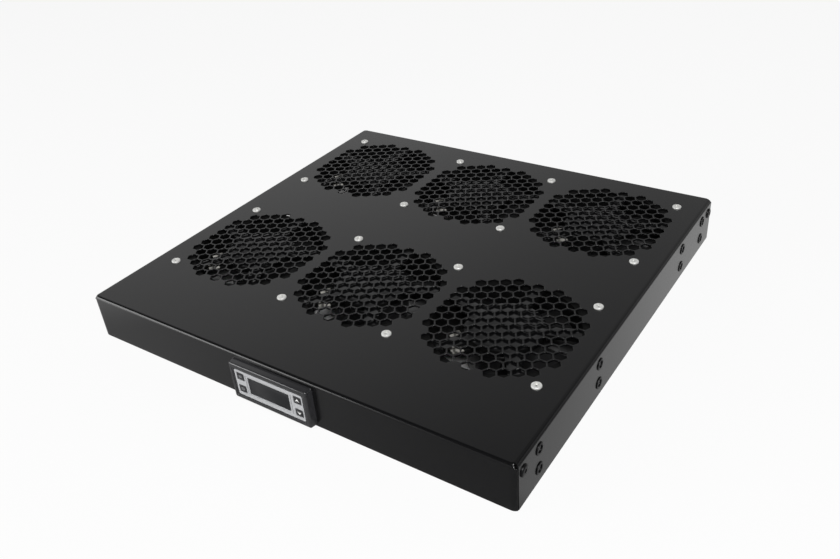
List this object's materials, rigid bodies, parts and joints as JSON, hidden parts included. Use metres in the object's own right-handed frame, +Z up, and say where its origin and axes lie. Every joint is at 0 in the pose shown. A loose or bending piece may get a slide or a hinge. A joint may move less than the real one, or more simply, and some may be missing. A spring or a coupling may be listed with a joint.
{
  "type": "rack fan tray",
  "caption": "Shallow folded steel tray, open underneath, with axial fans under hexagonal perforations and a thermostat in the front wall, for cooling equipment in a rack.",
  "frame": {"origin": "centre of the whole footprint, in the plane of the tray's lower rim", "axes": "+Z up and out of the perforated top, +X to the right as seen from the thermostat's side, +Y from the thermostat to the mains inlet"},
  "size_m": [0.4046, 0.3952, 0.0422],
  "materials": {
    "sheet_coat": "semi-gloss black powder coat on folded steel sheet",
    "black_hardware": "black finish on threaded inserts and corner screws",
    "zinc_steel": "bright zinc plating on pan-headed screws",
    "nut_steel": "zinc plating on nuts",
    "fan_housing": "black painted die-cast fan housing",
    "impeller_plastic": "satin dark moulded plastic",
    "lug_metal": "tinned supply lugs",
    "bezel_plastic": "fine-grained dark grey moulding",
    "overlay_film": "light silver-grey panel film",
    "window_plastic": "dark display window",
    "key_plastic": "dark key caps",
    "case_plastic": "black moulded case",
    "terminal_plastic": "black moulded terminal block",
    "inlet_plastic": "black moulded inlet",
    "contact_metal": "nickel-plated pins and tabs"
  },
  "bodies": {
    "tray": {"top_plate": "sheet_coat", "front_wall": "sheet_coat", "rear_wall": "sheet_coat", "left_wall": "sheet_coat", "right_wall": "sheet_coat", "side_inserts": "black_hardware", "corner_screws": "black_hardware", "corner_nuts": "nut_steel", "fan_screws": "zinc_steel", "fan_nuts": "nut_steel", "panel_bezel": "bezel_plastic", "panel_overlay": "overlay_film", "panel_window": "window_plastic", "panel_case": "case_plastic", "panel_clips": "case_plastic", "panel_terminals": "terminal_plastic", "inlet_housing": "inlet_plastic", "inlet_pins": "contact_metal", "inlet_tabs": "contact_metal", "inlet_screws": "zinc_steel", "inlet_nuts": "nut_steel", "fan_lugs": "lug_metal", "fan_1_frame": "fan_housing", "fan_2_frame": "fan_housing", "fan_3_frame": "fan_housing", "fan_4_frame": "fan_housing", "fan_5_frame": "fan_housing", "fan_6_frame": "fan_housing"},
    "fan_1": {"fan_1_rotor": "impeller_plastic"},
    "fan_2": {"fan_2_rotor": "impeller_plastic"},
    "fan_3": {"fan_3_rotor": "impeller_plastic"},
    "fan_4": {"fan_4_rotor": "impeller_plastic"},
    "fan_5": {"fan_5_rotor": "impeller_plastic"},
    "fan_6": {"fan_6_rotor": "impeller_plastic"},
    "key_set_cap": {"key_set": "key_plastic"},
    "key_menu_cap": {"key_menu": "key_plastic"},
    "key_up_cap": {"key_up": "key_plastic"},
    "key_down_cap": {"key_down": "key_plastic"}
  },
  "joints": [
    {"name": "fan_1_spin", "type": "hinge", "parent": "tray", "child": "fan_1", "pos_m": [-0.1253, -0.066, 0.02], "axis": [0, 0, 1], "continuous": true},
    {"name": "fan_2_spin", "type": "hinge", "parent": "tray", "child": "fan_2", "pos_m": [0, -0.066, 0.02], "axis": [0, 0, 1], "continuous": true},
    {"name": "fan_3_spin", "type": "hinge", "parent": "tray", "child": "fan_3", "pos_m": [0.1253, -0.066, 0.02], "axis": [0, 0, 1], "continuous": true},
    {"name": "fan_4_spin", "type": "hinge", "parent": "tray", "child": "fan_4", "pos_m": [-0.1253, 0.1119, 0.02], "axis": [0, 0, 1], "continuous": true},
    {"name": "fan_5_spin", "type": "hinge", "parent": "tray", "child": "fan_5", "pos_m": [0, 0.1119, 0.02], "axis": [0, 0, 1], "continuous": true},
    {"name": "fan_6_spin", "type": "hinge", "parent": "tray", "child": "fan_6", "pos_m": [0.1253, 0.1119, 0.02], "axis": [0, 0, 1], "continuous": true},
    {"name": "key_set_press", "type": "slide", "parent": "tray", "child": "key_set_cap", "axis": [0, 1, 0], "range_m": [0, 0.0005], "stiffness_N_per_m": 400, "springref_m": -0.0005},
    {"name": "key_menu_press", "type": "slide", "parent": "tray", "child": "key_menu_cap", "axis": [0, 1, 0], "range_m": [0, 0.0005], "stiffness_N_per_m": 400, "springref_m": -0.0005},
    {"name": "key_up_press", "type": "slide", "parent": "tray", "child": "key_up_cap", "axis": [0, 1, 0], "range_m": [0, 0.0005], "stiffness_N_per_m": 400, "springref_m": -0.0005},
    {"name": "key_down_press", "type": "slide", "parent": "tray", "child": "key_down_cap", "axis": [0, 1, 0], "range_m": [0, 0.0005], "stiffness_N_per_m": 400, "springref_m": -0.0005}
  ]
}
